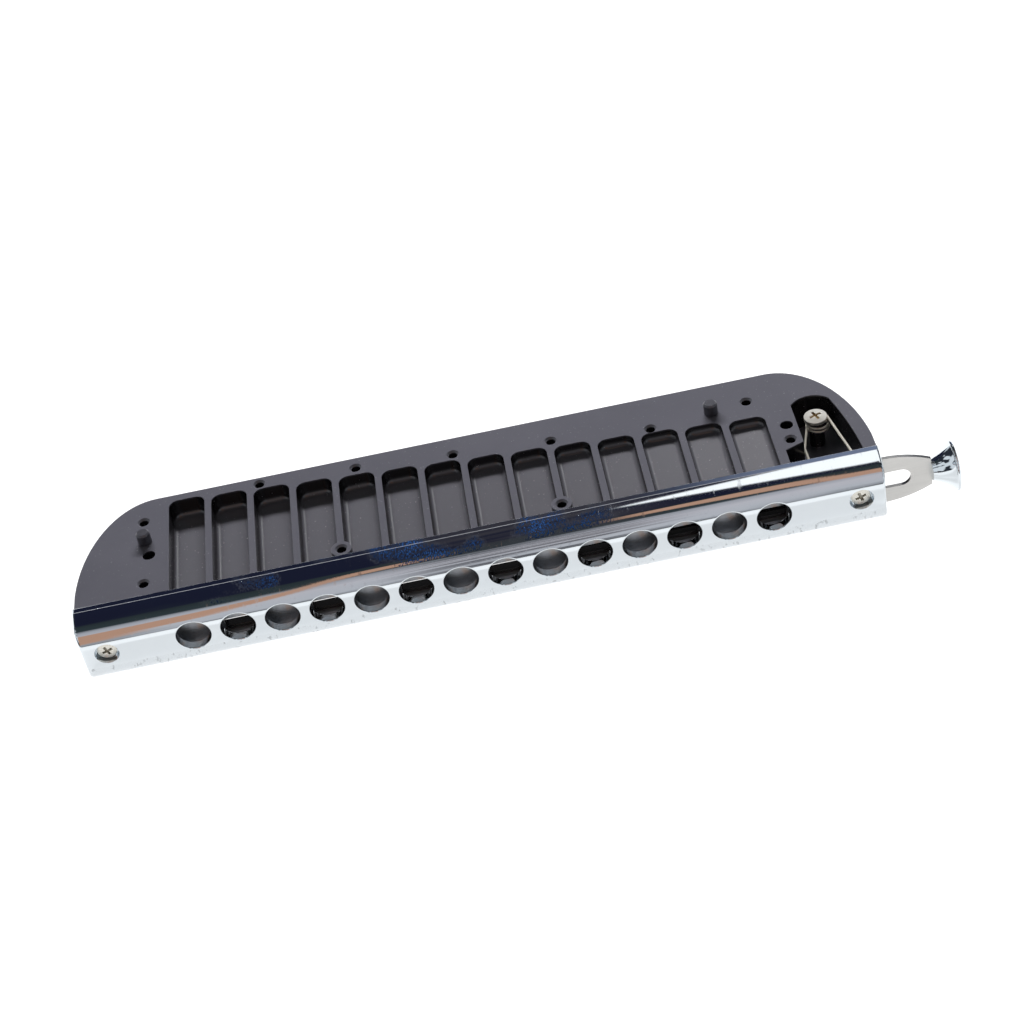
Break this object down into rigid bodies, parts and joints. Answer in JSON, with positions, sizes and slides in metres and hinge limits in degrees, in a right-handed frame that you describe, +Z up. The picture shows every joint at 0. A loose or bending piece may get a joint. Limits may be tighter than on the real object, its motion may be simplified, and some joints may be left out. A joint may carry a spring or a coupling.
{
  "type": "chromatic harmonica body",
  "caption": "Chromatic harmonica body without reed plates or covers: milled comb, chromed mouthpiece and a spring-returned button slide.",
  "frame": {"origin": "middle of the bottom of the whole object's box, level with the tips of the lower locating pins", "axes": "+X along the row of mouth holes towards the button, +Y from the mouthpiece back to the comb's rear edge, +Z up out of the upper reed-plate seat"},
  "size_m": [0.1918, 0.0436, 0.0157],
  "materials": {
    "comb": "black anodised, satin",
    "chrome_plate": "polished chrome plate",
    "slide_steel": "brushed stainless steel",
    "plate_steel": "rolled stainless steel",
    "button_chrome": "polished chrome plate",
    "screw_nickel": "nickel plate",
    "bumper_rubber": "matt rubber",
    "spring_wire": "bright drawn wire",
    "pin_black": "black anodised"
  },
  "bodies": {
    "root": {"comb": "comb", "mouthpiece": "chrome_plate", "slide_back_plate": "plate_steel", "left_mouthpiece_screw": "screw_nickel", "right_mouthpiece_screw": "screw_nickel", "spring_screw": "screw_nickel", "left_slide_bumper": "bumper_rubber", "right_slide_bumper": "bumper_rubber", "slide_spring": "spring_wire", "upper_left_locating_pin": "pin_black", "upper_right_locating_pin": "pin_black", "lower_left_locating_pin": "pin_black", "lower_right_locating_pin": "pin_black"},
    "slide": {"slide": "slide_steel", "slide_button": "button_chrome"}
  },
  "joints": [
    {"name": "slide_press", "type": "slide", "parent": "root", "child": "slide", "axis": [-1, 0, 0], "range_m": [0, 0.0097], "stiffness_N_per_m": 150, "springref_m": -0.006, "deforming": ["slide_spring"]}
  ]
}
